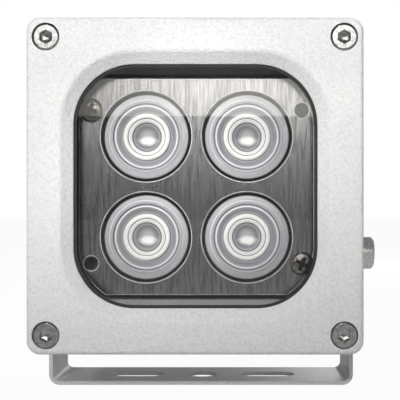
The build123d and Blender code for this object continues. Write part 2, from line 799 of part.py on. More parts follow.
# Mounting bracket: one strip of sheet bent into a U, slotted base, round-ended legs with pivot holes.
outer_bend = bend_radius + sheet
with BuildPart() as mounting_bracket:
    with BuildSketch(Plane.XZ.offset(-strip_width / 2)):
        leg_height = pivot_z + strip_width / 2
        Rectangle(2 * leg_outer, leg_height, align=(Align.CENTER, Align.MIN))
        fillet(vertices().group_by(Axis.Y)[0], radius=outer_bend)
        with Locations((0, sheet)):
            Rectangle(2 * leg_inner, leg_height, align=(Align.CENTER, Align.MIN), mode=Mode.SUBTRACT)
        fillet(vertices().group_by(Axis.Y)[1], radius=bend_radius)
    extrude(amount=strip_width)
    with BuildSketch(side(0)):
        Circle(strip_width / 2)
        Rectangle(strip_width, pivot_z, align=(Align.CENTER, Align.MAX))
    extrude(amount=leg_outer, both=True, mode=Mode.INTERSECT)
    with BuildSketch(side(0)):
        Circle(bolt_size / 2 + bolt_swing_slack - thread_slack)
    extrude(amount=leg_outer, both=True, mode=Mode.SUBTRACT)
    with BuildSketch(Plane.XY):
        Circle(base_hole / 2)
        with Locations((-slot_place, 0), (slot_place, 0)):
            SlotOverall(slot_length, slot_width)
    extrude(amount=sheet, mode=Mode.SUBTRACT)
mounting_bracket.part.label = "mounting_bracket"
export_step(mounting_bracket.part, "parts/mounting_bracket.step")
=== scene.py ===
import bmesh
import bpy
import math
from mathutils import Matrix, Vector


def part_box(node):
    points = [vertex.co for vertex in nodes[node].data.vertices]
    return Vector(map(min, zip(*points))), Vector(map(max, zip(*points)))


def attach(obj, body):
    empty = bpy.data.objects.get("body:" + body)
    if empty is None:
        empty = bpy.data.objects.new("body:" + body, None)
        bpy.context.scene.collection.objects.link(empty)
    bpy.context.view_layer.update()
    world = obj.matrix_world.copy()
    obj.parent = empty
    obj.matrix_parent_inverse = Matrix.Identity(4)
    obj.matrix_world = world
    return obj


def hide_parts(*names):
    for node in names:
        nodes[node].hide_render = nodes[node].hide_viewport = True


# Four-lamp white light illuminator on its tilting bracket, seen from the front in a white studio.
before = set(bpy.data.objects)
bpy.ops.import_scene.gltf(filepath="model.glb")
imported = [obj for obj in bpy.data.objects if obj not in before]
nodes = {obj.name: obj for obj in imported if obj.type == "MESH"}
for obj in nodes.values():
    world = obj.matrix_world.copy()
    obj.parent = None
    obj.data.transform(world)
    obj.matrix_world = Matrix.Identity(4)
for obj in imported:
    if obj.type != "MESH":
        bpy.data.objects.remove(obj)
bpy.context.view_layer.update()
mm = 0.001
headLow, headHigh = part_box("front_bezel")
frontY = headLow[1]
headZ = (headLow[2] + headHigh[2]) / 2
corners = {"upper_left": (-1, 1), "upper_right": (1, 1), "lower_left": (-1, -1), "lower_right": (1, -1)}
screwPlace = 48.6 * mm  # bezel screws, from the middle of the front


def linear(hexText):
    # an sRGB hex colour as the linear colour a shader reads
    parts = [int(hexText[i:i + 2], 16) / 255 for i in (1, 3, 5)]
    return [p / 12.92 if p <= 0.04045 else ((p + 0.055) / 1.055) ** 2.4 for p in parts] + [1.0]


def addNode(tree, kind, values=None, links=None, stops=None, **settings):
    # One shader node with its settings, socket values and incoming links.
    # A colour ramp also gets its stops, each a place and a hex colour or a grey number.
    node = tree.nodes.new(kind)
    for name, value in settings.items():
        setattr(node, name, value)
    for key, value in (values or {}).items():
        node.inputs[key].default_value = value
    for key, source in (links or {}).items():
        tree.links.new(source, node.inputs[key])
    if stops:
        elements = node.color_ramp.elements
        while len(elements) < len(stops):
            elements.new(1.0)
        for element, (place, colour) in zip(elements, stops):
            element.position = place
            element.color = linear(colour) if isinstance(colour, str) else [colour, colour, colour, 1.0]
    return node


def newMaterial(name):
    material = bpy.data.materials.new(name)
    material.use_nodes = True
    material.node_tree.nodes.clear()
    return material, material.node_tree


def radiusOf(tree, place):
    # distance from the piece's own axis, which is its local Y
    split = addNode(tree, "ShaderNodeSeparateXYZ", None, {0: place})
    flat = addNode(tree, "ShaderNodeCombineXYZ", None, {"X": split.outputs["X"], "Z": split.outputs["Z"]})
    return addNode(tree, "ShaderNodeVectorMath", None, {0: flat.outputs[0]}, operation="LENGTH").outputs["Value"]


def ringLines(tree, place, pitch):
    # lines that run round the piece's own axis, about one to each pitch
    rings = addNode(tree, "ShaderNodeMath", {1: 1 / (pitch * mm)}, {0: radiusOf(tree, place)}, operation="MULTIPLY")
    lines = addNode(
        tree, "ShaderNodeTexNoise", {"Scale": 1.0, "Detail": 2.0}, {"W": rings.outputs[0]}, noise_dimensions="1D",
    )
    return lines.outputs["Fac"]


# Every size in a material is in mm.
print("materials")


def makePowderCoat():
    # White polyester powder coat on a die casting: the fine orange peel breaks its gloss into small glints.
    look = {
        "white": "#F3F3F2", "paintedShade": "#EAEAEA", "rough": (0.24, 0.42), "coat": 0.5, "coatRough": 0.08,
        "peel": 0.95, "grain": 0.5, "peelDepth": 0.31, "relief": 0.85,
    }
    material, tree = newMaterial("whitePowderCoat")
    place = addNode(tree, "ShaderNodeTexCoord").outputs["Object"]
    peel = addNode(
        tree, "ShaderNodeTexNoise",
        {"Scale": 1 / (look["peel"] * mm), "Detail": 2.0, "Roughness": 0.5}, {"Vector": place},
    ).outputs["Fac"]
    grain = addNode(
        tree, "ShaderNodeTexNoise", {"Scale": 1 / (look["grain"] * mm), "Detail": 1.0}, {"Vector": place},
    ).outputs["Fac"]
    # Painted shade: the colour is a little darker in the low pits of the peel.
    colour = addNode(
        tree, "ShaderNodeValToRGB", None, {"Fac": peel}, [(0.38, look["paintedShade"]), (0.62, look["white"])],
    )
    gloss = addNode(
        tree, "ShaderNodeValToRGB", None, {"Fac": peel}, [(0.3, look["rough"][0]), (0.7, look["rough"][1])],
    )
    height = addNode(tree, "ShaderNodeMath", None, {0: peel, 1: grain}, operation="ADD")
    bump = addNode(
        tree, "ShaderNodeBump",
        {"Strength": look["relief"], "Distance": look["peelDepth"] * mm}, {"Height": height.outputs[0]},
    )
    shader = addNode(
        tree, "ShaderNodeBsdfPrincipled",
        {"Coat Weight": look["coat"], "Coat Roughness": look["coatRough"]},
        {"Base Color": colour.outputs["Color"], "Roughness": gloss.outputs["Color"], "Normal": bump.outputs["Normal"]},
    )
    addNode(tree, "ShaderNodeOutputMaterial", None, {"Surface": shader.outputs[0]})
    return material


def makeBrushedStainless():
    # Stainless sheet brushed up and down: the lines spread reflections sideways and keep them sharp in height.
    # They are drawn coarser than real brushing, which would be lost between the pixels.
    look = {
        "steel": "#BAB9B9", "line": "#939294", "rough": (0.26, 0.19),
        "lineWidth": 0.6, "lineLength": 9, "lineDepth": 0.02,
    }
    material, tree = newMaterial("brushedStainless")
    place = addNode(tree, "ShaderNodeTexCoord").outputs["Object"]
    across, along = 1 / (look["lineWidth"] * mm), 1 / (look["lineLength"] * mm)
    stretch = addNode(tree, "ShaderNodeMapping", {"Scale": (across, across, along)}, {"Vector": place})
    lines = addNode(
        tree, "ShaderNodeTexNoise",
        {"Scale": 1.0, "Detail": 2.0, "Roughness": 0.5}, {"Vector": stretch.outputs[0]},
    ).outputs["Fac"]
    colour = addNode(
        tree, "ShaderNodeValToRGB", None, {"Fac": lines}, [(0.35, look["line"]), (0.6, look["steel"])],
    )
    gloss = addNode(
        tree, "ShaderNodeValToRGB", None, {"Fac": lines}, [(0.3, look["rough"][0]), (0.7, look["rough"][1])],
    )
    bump = addNode(tree, "ShaderNodeBump", {"Strength": 1.0, "Distance": look["lineDepth"] * mm}, {"Height": lines})
    shader = addNode(
        tree, "ShaderNodeBsdfPrincipled", {"Metallic": 1.0},
        {"Base Color": colour.outputs["Color"], "Roughness": gloss.outputs["Color"], "Normal": bump.outputs["Normal"]},
    )
    addNode(tree, "ShaderNodeOutputMaterial", None, {"Surface": shader.outputs[0]})
    return material


def makeGrained(name, colours, rough, grain, depth, detail, relief, metallic):
    # one close grain that moves the colour, the sheen and the height of a surface together
    material, tree = newMaterial(name)
    place = addNode(tree, "ShaderNodeTexCoord").outputs["Object"]
    noise = addNode(
        tree, "ShaderNodeTexNoise", {"Scale": 1 / (grain * mm), "Detail": detail}, {"Vector": place},
    ).outputs["Fac"]
    colour = addNode(tree, "ShaderNodeValToRGB", None, {"Fac": noise}, [(0.3, colours[0]), (0.7, colours[1])])
    gloss = addNode(tree, "ShaderNodeValToRGB", None, {"Fac": noise}, [(0.3, rough[0]), (0.7, rough[1])])
    bump = addNode(tree, "ShaderNodeBump", {"Strength": relief, "Distance": depth * mm}, {"Height": noise})
    shader = addNode(
        tree, "ShaderNodeBsdfPrincipled", {"Metallic": metallic},
        {"Base Color": colour.outputs["Color"], "Roughness": gloss.outputs["Color"], "Normal": bump.outputs["Normal"]},
    )
    addNode(tree, "ShaderNodeOutputMaterial", None, {"Surface": shader.outputs[0]})
    return material


def makeMoulded(name, colours, rough, grain, depth):
    # Moulded plastic, rubber or lacquer: a close grain mottles its colour and its sheen a little.
    return makeGrained(name, colours, rough, grain, depth, detail=3.0, relief=0.5, metallic=0.0)


def makeMetal(name, colours, rough, grain, depth, metallic=1.0):
    # Bare or plated metal: a fine tumbled grain softens the edge of each highlight.
    return makeGrained(name, colours, rough, grain, depth, detail=4.0, relief=0.4, metallic=metallic)


def makeTurnedStainless():
    # Turned steel: fine rings about the piece's own axis draw its highlights into fans.
    look = {"dark": "#8E8C8E", "light": "#DAD8D5", "rough": 0.16, "ringPitch": 0.12, "ringDepth": 0.003, "stain": 1.11}
    material, tree = newMaterial("turnedStainless")
    place = addNode(tree, "ShaderNodeTexCoord").outputs["Object"]
    lines = ringLines(tree, place, look["ringPitch"])
    stain = addNode(
        tree, "ShaderNodeTexNoise", {"Scale": 1 / (look["stain"] * mm), "Detail": 3.0}, {"Vector": place},
    )
    mixed = addNode(tree, "ShaderNodeMath", None, {0: lines, 1: stain.outputs["Fac"]}, operation="MULTIPLY")
    colour = addNode(
        tree, "ShaderNodeValToRGB", None, {"Fac": mixed.outputs[0]}, [(0.12, look["dark"]), (0.36, look["light"])],
    )
    bump = addNode(tree, "ShaderNodeBump", {"Strength": 0.6, "Distance": look["ringDepth"] * mm}, {"Height": lines})
    shader = addNode(
        tree, "ShaderNodeBsdfPrincipled", {"Metallic": 1.0, "Roughness": look["rough"]},
        {"Base Color": colour.outputs["Color"], "Normal": bump.outputs["Normal"]},
    )
    addNode(tree, "ShaderNodeOutputMaterial", None, {"Surface": shader.outputs[0]})
    return material


def makeAcrylic(name, colours, rough, pitch, depth=0.02):
    # Polished clear acrylic: fine moulded rings, under a clear gloss that turns bright where it is seen aslant.
    material, tree = newMaterial(name)
    place = addNode(tree, "ShaderNodeTexCoord").outputs["Object"]
    lines = ringLines(tree, place, pitch)
    colour = addNode(tree, "ShaderNodeValToRGB", None, {"Fac": lines}, [(0.3, colours[0]), (0.7, colours[1])])
    bump = addNode(tree, "ShaderNodeBump", {"Strength": 0.3, "Distance": depth * mm}, {"Height": lines})
    shader = addNode(
        tree, "ShaderNodeBsdfPrincipled",
        {"Roughness": rough, "Coat Weight": 1.0, "Coat Roughness": 0.04, "Specular IOR Level": 0.6},
        {"Base Color": colour.outputs["Color"], "Normal": bump.outputs["Normal"]},
    )
    addNode(tree, "ShaderNodeOutputMaterial", None, {"Surface": shader.outputs[0]})
    return material


def makeAcrylicBowl():
    # Clear acrylic over the emitter: a painted glow, a pale crescent below a grey hollow, stands in for the lit pad
    # that the lens enlarges.
    look = {
        "hollow": [(0.0, "#C6C5C3"), (0.35, "#B4B3B2"), (0.7, "#87868A"), (0.95, "#BDBCBC")], "reach": 5.0,
        "paintedGlow": "#FEFDF8", "paintedGlowAt": (0.2, -1.15), "paintedGlowSize": (4.1, 2.0), "paintedGlowEdge": [(0.35, 1.0), (1.2, 0.0)],
        "wobble": 2.0, "wobbleShare": 0.35, "wobbleShift": -0.17, "wobbleDepth": 0.02, "rough": 0.18, "coatRough": 0.05,
    }
    material, tree = newMaterial("clearAcrylicBowl")
    place = addNode(tree, "ShaderNodeTexCoord").outputs["Object"]
    wobble = addNode(
        tree, "ShaderNodeTexNoise", {"Scale": 1 / (look["wobble"] * mm), "Detail": 1.0}, {"Vector": place},
    ).outputs["Fac"]
    reach = addNode(
        tree, "ShaderNodeMath", {1: 1 / (look["reach"] * mm)}, {0: radiusOf(tree, place)}, operation="MULTIPLY",
    )
    hollow = addNode(tree, "ShaderNodeValToRGB", None, {"Fac": reach.outputs[0]}, look["hollow"])
    # Painted glow: a pale oval low in the bowl, its edge made uneven by the wobble, mixed over the hollow's tones.
    right, up = look["paintedGlowAt"]
    shift = addNode(tree, "ShaderNodeMapping", {"Location": (-right * mm, 0.0, -up * mm)}, {"Vector": place})
    width, height = look["paintedGlowSize"]
    squeeze = addNode(
        tree, "ShaderNodeVectorMath",
        {1: (1 / (width * mm), 0.0, 1 / (height * mm))}, {0: shift.outputs[0]}, operation="MULTIPLY",
    )
    paintedGlow = addNode(tree, "ShaderNodeVectorMath", None, {0: squeeze.outputs[0]}, operation="LENGTH")
    uneven = addNode(
        tree, "ShaderNodeMath",
        {1: look["wobbleShare"], 2: look["wobbleShift"]}, {0: wobble}, operation="MULTIPLY_ADD",
    )
    edge = addNode(tree, "ShaderNodeMath", None, {0: paintedGlow.outputs["Value"], 1: uneven.outputs[0]}, operation="ADD")
    mask = addNode(tree, "ShaderNodeValToRGB", None, {"Fac": edge.outputs[0]}, look["paintedGlowEdge"])
    mask.color_ramp.interpolation = "EASE"
    colour = addNode(
        tree, "ShaderNodeMix", {7: linear(look["paintedGlow"])},
        {0: mask.outputs["Color"], 6: hollow.outputs["Color"]}, data_type="RGBA",
    )
    bump = addNode(tree, "ShaderNodeBump", {"Strength": 0.2, "Distance": look["wobbleDepth"] * mm}, {"Height": wobble})
    shader = addNode(
        tree, "ShaderNodeBsdfPrincipled",
        {"Roughness": look["rough"], "Coat Weight": 1.0, "Coat Roughness": look["coatRough"]},
        {"Base Color": colour.outputs[2], "Normal": bump.outputs["Normal"]},
    )
    addNode(tree, "ShaderNodeOutputMaterial", None, {"Surface": shader.outputs[0]})
    return material


def makeGlass():
    # Toughened float glass: clear, with a mirror sheen that grows towards grazing and a few specks of dust.
    # Its front face carries the sheen of both faces and its rear face none.
    # So the index is 1.8, which gives the 8 % that a real pane mirrors.
    look = {"index": 1.8, "rough": 0.02, "dust": 1.43, "tint": [(0.3, "#FAFAFB"), (0.7, "#FCFCFC")]}
    material, tree = newMaterial("toughenedGlass")
    place = addNode(tree, "ShaderNodeTexCoord").outputs["Object"]
    dust = addNode(
        tree, "ShaderNodeTexNoise", {"Scale": 1 / (look["dust"] * mm), "Detail": 2.0}, {"Vector": place},
    )
    fresnel = addNode(tree, "ShaderNodeFresnel", {"IOR": look["index"]})
    rear = addNode(tree, "ShaderNodeNewGeometry").outputs["Backfacing"]
    sheen = addNode(
        tree, "ShaderNodeMath", None, {0: fresnel.outputs[0], 1: rear}, operation="SUBTRACT", use_clamp=True,
    )
    tint = addNode(tree, "ShaderNodeValToRGB", None, {"Fac": dust.outputs["Fac"]}, look["tint"])
    clear = addNode(tree, "ShaderNodeBsdfTransparent", None, {"Color": tint.outputs["Color"]})
    mirror = addNode(tree, "ShaderNodeBsdfGlossy", {"Roughness": look["rough"]})
    shader = addNode(
        tree, "ShaderNodeMixShader", None, {0: sheen.outputs[0], 1: clear.outputs[0], 2: mirror.outputs[0]},
    )
    addNode(tree, "ShaderNodeOutputMaterial", None, {"Surface": shader.outputs[0]})
    return material


powderCoat = makePowderCoat()
brushedStainless = makeBrushedStainless()
glass = makeGlass()
# Satin grey moulding round the lens plate: a broad soft sheen.
greyAbs = makeMoulded("mouldedGreyAbs", ("#AAAAAC", "#B6B6B8"), (0.3, 0.42), grain=0.8, depth=0.02)
# Black moulding of the lens cups: nearly no light comes back from it.
blackNylon = makeMoulded("mouldedBlackNylon", ("#0B0B0C", "#141415"), (0.35, 0.5), grain=0.6, depth=0.02)
# Moulded silicone seal: dull and dark, without a highlight.
silicone = makeMoulded("mouldedSilicone", ("#303031", "#3E3E3F"), (0.55, 0.7), grain=0.5, depth=0.02)
# Bright passivated bolt: paler than bare steel, with a wide highlight.
boltSteel = makeMetal("brightStainless", ("#DAD8D4", "#F2F0EC"), (0.22, 0.34), grain=0.4, depth=0.01, metallic=0.7)
# Tumbled stainless of the small screws and washers: clear highlights on grey.
stainless = makeMetal("tumbledStainless", ("#8E8C88", "#C4C2BD"), (0.18, 0.3), grain=0.4, depth=0.01)
# Satin plated bracket strip: reads as a pale grey sheet with only a trace of reflection.
bracketSteel = makeMetal(
    "satinPlatedSteel", ("#D8D8D7", "#E4E4E3"), (0.32, 0.44), grain=0.7, depth=0.012, metallic=0.25,
)
# Cut edges of the lens plate in near white: a painted highlight, so they gleam as thin white rims.
rimHighlight = makeMetal(
    "stainlessEdgePaintedHighlight", ("#F8F7F4", "#FFFFFE"), (0.3, 0.42), grain=0.5, depth=0.01, metallic=0.1,
)
# Milled aluminium of the heat spreader: pale and even.
aluminium = makeMetal("milledAluminium", ("#A8A9AA", "#C6C7C8"), (0.3, 0.45), grain=0.6, depth=0.01)
# Nickel-plated brass of gland and standoffs: warm grey, bright highlights.
brass = makeMetal("nickelPlatedBrass", ("#A9A39A", "#CFC9BF"), (0.18, 0.3), grain=0.6, depth=0.01)
turnedStainless = makeTurnedStainless()
# Barrel-plated nickel of the pan screws, uneven enough to mottle, and dark in the cross that light barely enters.
nickel = makeMetal("barrelNickel", ("#6E6A63", "#B4AFA6"), (0.14, 0.24), grain=0.9, depth=0.2)
darkNickel = makeMetal("barrelNickelInRecess", ("#262422", "#45423D"), (0.2, 0.3), grain=0.5, depth=0.1)
# The lens in its zones, from pale rims to dark walls. Each takes the tone that the clear plastic passes on there,
# painted in: painted highlights on the bright edge rings, painted shade in the thin dark rings, a painted reflection of
# the lit phosphor in the cream ring, and a painted crescent of light in the bowl.
acrylics = {
    "flange": makeAcrylic("clearAcrylicFlange", ("#AEAEAF", "#C4C4C5"), 0.25, pitch=0.25),
    "funnel": makeAcrylic("clearAcrylicFunnel", ("#9A999C", "#B2B1B4"), 0.2, pitch=0.4),
    "paintedPhosphorGlow": makeAcrylic("clearAcrylicPaintedPhosphorGlow", ("#FBF9F0", "#FFFEF8"), 0.25, pitch=0.5),
    "collar": makeAcrylic("clearAcrylicCollar", ("#EEEDE8", "#FAF9F5"), 0.2, pitch=0.4),
    "bowl": makeAcrylicBowl(),
    "edge": makeAcrylic("clearAcrylicPaintedHighlight", ("#EEEEF0", "#FAFAFA"), 0.15, pitch=0.4),
    "paintedShade": makeAcrylic("clearAcrylicPaintedShade", ("#5C5B60", "#74737A"), 0.2, pitch=0.4),
}
# Screened solder lacquer of the two boards: smooth, with a low sheen.
whiteMask = makeMoulded("whiteSolderMask", ("#D9DAD6", "#E8E9E5"), (0.35, 0.5), grain=0.9, depth=0.01)
greenMask = makeMoulded("greenSolderMask", ("#0E4A2A", "#176339"), (0.3, 0.45), grain=0.9, depth=0.01)
# Phosphor cast in silicone: a dull yellow pad.
phosphor = makeMoulded("castPhosphor", ("#D8C45A", "#EAD978"), (0.4, 0.55), grain=0.4, depth=0.01)
# Painted ferrite, shrunk sleeve, moulded terminal and spacer: small parts, each with its own plain sheen.
ferrite = makeMoulded("paintedFerrite", ("#2B3A33", "#3B4C44"), (0.5, 0.65), grain=0.5, depth=0.02)
sleeve = makeMoulded("shrunkPvcSleeve", ("#1B1C24", "#2A2B36"), (0.3, 0.4), grain=0.6, depth=0.01)
greenNylon = makeMoulded("mouldedGreenNylon", ("#1C6E3B", "#2A8B4C"), (0.35, 0.5), grain=0.5, depth=0.01)
naturalNylon = makeMoulded("mouldedNaturalNylon", ("#D8D6CC", "#E6E4DB"), (0.4, 0.55), grain=0.6, depth=0.01)

# Finish of each CAD piece, by the start of its name. The longest start that fits holds.
finishes = {
    "front_bezel": powderCoat, "rear_housing": powderCoat, "housing_back": powderCoat,
    "front_glass": glass, "glass_gasket": silicone, "housing_gasket": silicone, "inner_frame": greyAbs,
    "lens_plate": brushedStainless, "lens_holder": blackNylon, "lens_": acrylics["flange"],
    "plate_screw": nickel, "bezel_screw": stainless, "driver_screw": stainless, "board_screw": stainless,
    "spreader_screw": stainless, "emitter": phosphor, "lamp_board": whiteMask, "heat_spreader": aluminium,
    "standoff": brass, "gland": brass, "gland_seal": silicone, "driver_board": greenMask,
    "inductor": ferrite, "capacitor": sleeve, "terminal_block": greenNylon, "mounting_bracket": bracketSteel,
    "side_bolt": stainless, "side_washer": stainless, "side_spacer": naturalNylon,
}
for name, node in nodes.items():
    start = max((key for key in finishes if name.startswith(key)), key=len)
    node.data.materials.clear()
    node.data.materials.append(finishes[start])

print("side washers")
washerEdge = {"round": 0.2 * mm, "weld": 0.002 * mm, "segments": 2, "sharpFrom": 32}
for side in ("left", "right"):
    washer = nodes[f"side_washer_{side}"]
    weld = washer.modifiers.new("joinEdges", "WELD")
    weld.merge_threshold = washerEdge["weld"]
    bevel = washer.modifiers.new("softEdges", "BEVEL")
    bevel.width = washerEdge["round"]
    bevel.segments = washerEdge["segments"]
    bevel.limit_method = "ANGLE"
    bevel.angle_limit = math.radians(washerEdge["sharpFrom"])

# Powder lies thick and round on every edge of a casting, most of all where the bezel's face turns into the cove.
print("castings, lens plate and bracket")
skinLook = {
    "coveRound": 1.4 * mm, "coveReach": 47 * mm, "wellReach": 6 * mm, "paintRound": 0.5 * mm, "thinRound": 0.35 * mm,
    "same": 0.02 * mm, "weld": 0.002 * mm, "flatBelow": 0.5, "sharpFrom": 28, "segments": 3,
}
wells = [(x * screwPlace, headZ + z * screwPlace) for x, z in corners.values()]
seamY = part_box("rear_housing")[1][1]
sharpAngle = math.radians(skinLook["sharpFrom"])


def roundOf(edge, usual):
    # width of the round on one edge: none where the two halves of the housing meet, wide along the cove
    points = [vertex.co for vertex in edge.verts]
    if len(edge.link_faces) != 2 or all(abs(point.y - seamY) < skinLook["same"] for point in points):
        return 0.0
    if edge.calc_face_angle() < sharpAngle:
        return 0.0
    for point in points:
        fromMiddle = max(abs(point.x), abs(point.z - headZ))
        onFace = abs(point.y - frontY) < skinLook["same"] and fromMiddle < skinLook["coveReach"]
        if not onFace or min(math.dist((point.x, point.z), well) for well in wells) < skinLook["wellReach"]:
            return usual
    return skinLook["coveRound"]


def softSkin(name, parts, usual, material, body, rim=None):
    # the CAD parts copied into one skin, with a soft round along their edges and, where a rim is given, a finish of its
    # own on the rounds (the lens plate's painted rim highlight)
    shape = bmesh.new()
    for part in parts:
        shape.from_mesh(nodes[part].data)
    bmesh.ops.remove_doubles(shape, verts=shape.verts, dist=skinLook["weld"])
    bmesh.ops.dissolve_limit(
        shape, angle_limit=math.radians(skinLook["flatBelow"]), verts=shape.verts, edges=shape.edges,
    )
    weights = shape.edges.layers.float.new("bevel_weight_edge")
    for edge in shape.edges:
        edge[weights] = roundOf(edge, usual) / skinLook["coveRound"]
        edge.smooth = len(edge.link_faces) == 2 and (edge[weights] > 0 or edge.calc_face_angle() < sharpAngle)
    for face in shape.faces:
        face.smooth = True
        face.material_index = 0
    mesh = bpy.data.meshes.new(name)
    shape.to_mesh(mesh)
    shape.free()
    for layer in (material, rim or material):
        mesh.materials.append(layer)
    skin = bpy.data.objects.new(name, mesh)
    bpy.context.scene.collection.objects.link(skin)
    bevel = skin.modifiers.new("paintedEdges", "BEVEL")
    bevel.width = skinLook["coveRound"]
    bevel.segments = skinLook["segments"]
    bevel.material = 1
    bevel.limit_method = "WEIGHT"
    flat = skin.modifiers.new("flatFaces", "WEIGHTED_NORMAL")
    flat.keep_sharp = True
    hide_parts(*parts)
    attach(skin, body)


paintRound, thinRound = skinLook["paintRound"], skinLook["thinRound"]
softSkin("bezelSkin", ["front_bezel"], thinRound, powderCoat, "head")
softSkin("housingSkin", ["rear_housing", "housing_back"], paintRound, powderCoat, "head")
# The plate's rounds take the painted rim highlight.
softSkin("plateSkin", ["lens_plate"], thinRound, brushedStainless, "head", rimHighlight)
softSkin("bracketSkin", ["mounting_bracket"], thinRound, bracketSteel, "bracket")


ringSharpAngle = math.radians(38)  # steeper steps between two rings stay crisp


def placeRings(name, rings, segments, centre, turn, materials, bands=None):
    # Joins closed rings into one skin. A ring is (radius, depth), each a number or a function of the angle.
    # The bands give the number of the material between each ring and the next.
    vertices, faces, slots, rows = [], [], [], []
    for radius, depth in rings:
        if radius == 0:
            rows.append([len(vertices)] * segments)
            vertices.append((0.0, depth, 0.0))
            continue
        rows.append(list(range(len(vertices), len(vertices) + segments)))
        for step in range(segments):
            angle = 2 * math.pi * step / segments
            r = radius(angle) if callable(radius) else radius
            d = depth(angle) if callable(depth) else depth
            vertices.append((r * math.cos(angle), d, r * math.sin(angle)))
    for band, (near, far) in enumerate(zip(rows, rows[1:])):
        for step in range(segments):
            after = (step + 1) % segments
            corner = [near[step], near[after], far[after], far[step]]
            corner = [v for i, v in enumerate(corner) if v not in corner[:i]]
            if len(corner) > 2:
                faces.append(corner)
                slots.append(bands[band] if bands else 0)
    mesh = bpy.data.meshes.new(name)
    mesh.from_pydata(vertices, [], faces)
    for material in materials:
        mesh.materials.append(material)
    mesh.polygons.foreach_set("material_index", slots)
    mesh.update()
    mesh.shade_smooth()
    mesh.set_sharp_from_angle(angle=ringSharpAngle)
    piece = bpy.data.objects.new(name, mesh)
    bpy.context.scene.collection.objects.link(piece)
    piece.location = centre
    piece.rotation_euler = (0, 0, turn)
    return piece


def hexagon(flats):
    # radius of a hexagon over the angle
    return lambda angle: flats / 2 / math.cos((angle + math.pi / 6) % (math.pi / 3) - math.pi / 6)


def eased(points, reach):
    # each inner corner of a profile drawn as a small curve of four points
    done = [points[0]]
    for before, corner, after in zip(points, points[1:], points[2:]):
        ends = []
        for other in (before, after):
            span = math.dist(other, corner)
            share = min(reach, span * 0.45) / span  # two curves on one side never meet
            ends.append([corner[i] + (other[i] - corner[i]) * share for i in (0, 1)])
        for t in (0.0, 0.33, 0.67, 1.0):
            first, middle, last = (1 - t) ** 2, 2 * t * (1 - t), t * t
            done.append(tuple(first * ends[0][i] + middle * corner[i] + last * ends[1][i] for i in (0, 1)))
    done.append(points[-1])
    return done


def capScrewRings(look):
    # rings of a screw with a hexagon socket, from the tip of its shank round the head and down into the key
    head, shank, key = look["head"], look["shank"], look["key"]
    slopeIn, slopeDeep = look["chamfer"]
    profile = [
        (0.0, look["length"]), (shank, look["length"]), (shank, look["headHeight"]), (head, look["headHeight"]),
        (head, slopeDeep), (head - slopeIn, 0.0), (look["face"][0], 0.0), (look["face"][1], 0.0),
    ]
    rings = [(radius * mm, depth * mm) for radius, depth in eased(profile, look["ease"])]
    rings += [(hexagon((key + wider) * mm), depth * mm) for wider, depth in look["keyWalls"]]
    return rings + [(0, look["keyEnd"] * mm)]


# Clear lenses with their concentric steps. A profile point is (radius, depth) in mm from the lens front.
print("lenses")
lensLook = {"segments": 96, "front": 11.2 * mm, "pitch": 34.0 * mm, "ease": 0.35 * mm}
lensProfile = [
    (14.25, 1.6), (14.25, 0.75), (12.45, 0.72), (12.25, 0.15), (11.75, 0.0), (11.15, 0.35), (10.8, 0.95),
    (10.4, 0.7), (9.95, 0.95), (8.9, 2.3), (8.1, 2.6), (7.9, 1.5), (7.3, 1.12), (6.5, 1.4), (6.3, 2.0),
    (5.7, 1.95), (4.9, 2.7), (4.65, 3.2), (3.9, 3.95), (2.9, 4.6), (1.6, 5.0), (0.0, 5.15),
]
# The edge zones are painted highlights on the ridge slopes, the shade zones thin rings of painted shade.
lensZones = [  # inner radius of each zone in mm, from the rim inwards
    (12.55, "flange"), (12.2, "edge"), (11.3, "flange"), (10.95, "paintedShade"), (10.65, "flange"), (10.25, "edge"),
    (8.15, "funnel"), (7.95, "paintedShade"), (6.45, "paintedPhosphorGlow"), (6.2, "paintedShade"), (4.95, "collar"), (4.7, "paintedShade"),
    (0.0, "bowl"),
]
lensPoints = eased([(radius * mm, depth * mm) for radius, depth in lensProfile], lensLook["ease"])
zoneOrder = list(acrylics)
lensBands = []
for outer, inner in zip(lensPoints, lensPoints[1:]):
    middle = (outer[0] + inner[0]) / 2
    lensBands.append(zoneOrder.index(next(zone for edge, zone in lensZones if middle >= edge * mm)))
for corner, (sideX, sideZ) in corners.items():
    centre = (sideX * lensLook["pitch"] / 2, frontY + lensLook["front"], headZ + sideZ * lensLook["pitch"] / 2)
    lens = placeRings(
        f"ringLens_{corner}", lensPoints, lensLook["segments"], centre, 0.0, acrylics.values(), lensBands,
    )
    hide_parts(f"lens_{corner}")
    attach(lens, "head")

# M5 socket screws sunk in the bezel's corners, sizes in mm.
print("socket screws")
socketScrew = {
    "shank": 2.45, "length": 33.0, "head": 4.25, "headHeight": 5.0, "chamfer": (0.4, 0.3), "face": (3.6, 3.5),
    "key": 4.0, "keyWalls": [(0.25, 0.0), (0.0, 0.12), (0.0, 2.4), (-0.56, 2.5)], "keyEnd": 3.0,
    "ease": 0.1, "sink": 0.2, "segments": 48,
}
socketRings = capScrewRings(socketScrew)
for corner, (sideX, sideZ) in corners.items():
    centre = (sideX * screwPlace, frontY + socketScrew["sink"] * mm, headZ + sideZ * screwPlace)
    screw = placeRings(
        f"socketScrew_{corner}", socketRings, socketScrew["segments"], centre, 0.0, [turnedStainless],
    )
    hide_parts(f"bezel_screw_{corner}")
    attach(screw, "head")

# Cross-recessed M4 pan screws in two corners of the lens plate, sizes in mm.
print("pan screws")
panScrew = {
    "shank": 1.95, "length": 10.4, "head": 4.0, "headHeight": 2.4, "dome": 0.55, "rim": 0.8, "rimDrop": 0.5,
    "recess": 1.35, "arm": 2.3, "armEnd": 0.5, "armWidth": 0.58, "flare": 0.35, "flareReach": 1.1, "wall": 0.16,
    "crossTurn": 0.4, "darkReach": 2.4, "darkFrom": 0.35, "place": (35.5, 8.1, 25.8), "segments": 96, "rings": 30,
}


